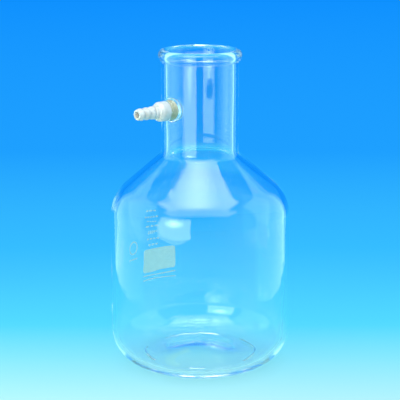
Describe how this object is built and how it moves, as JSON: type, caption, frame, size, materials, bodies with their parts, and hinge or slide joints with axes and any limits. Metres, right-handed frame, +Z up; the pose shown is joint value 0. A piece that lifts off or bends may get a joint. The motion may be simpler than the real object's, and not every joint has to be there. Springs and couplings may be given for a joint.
{
  "type": "filter flask",
  "caption": "Bottle-shaped vacuum filter flask of clear glass, with a side socket that holds a screw-tightened rubber seal and a barbed hose nozzle.",
  "frame": {"origin": "centre of the foot ring, on the flask's axis, at the level it stands on", "axes": "+Z up along the flask's axis, out of the mouth; the side socket and its hose nozzle point along -X"},
  "size_m": [0.17, 0.1702, 0.301],
  "materials": {
    "borosilicate_glass": "clear, fire polished",
    "seal_rubber": "matte cream rubber",
    "nozzle_plastic": "white moulded, satin",
    "nut_plastic": "white moulded, satin",
    "label_enamel": "fired cream enamel, matte",
    "print_enamel": "fired pale enamel, matte"
  },
  "bodies": {
    "flask": {"flask_body": "borosilicate_glass", "label_field": "label_enamel", "print_lines": "print_enamel", "print_mark": "print_enamel"},
    "seal": {"seal_sleeve": "seal_rubber"},
    "nozzle": {"hose_nozzle": "nozzle_plastic"},
    "expander": {"expander_nut": "nut_plastic"}
  },
  "joints": [
    {"name": "connector_pull", "type": "slide", "parent": "flask", "child": "seal", "axis": [-1, 0, 0], "range_m": [0, 0.02]},
    {"name": "nozzle_turn", "type": "hinge", "parent": "seal", "child": "nozzle", "pos_m": [-0.0418, 0, 0.2478], "axis": [-1, 0, 0], "range_deg": [0, 540]},
    {"name": "expander_travel", "type": "slide", "parent": "seal", "child": "expander", "axis": [1, 0, 0], "range_m": [0, 0.0031]}
  ],
  "couplings": [
    {"joint": "expander_travel", "follows": "nozzle_turn", "m_per_rad": 0.00031831}
  ]
}
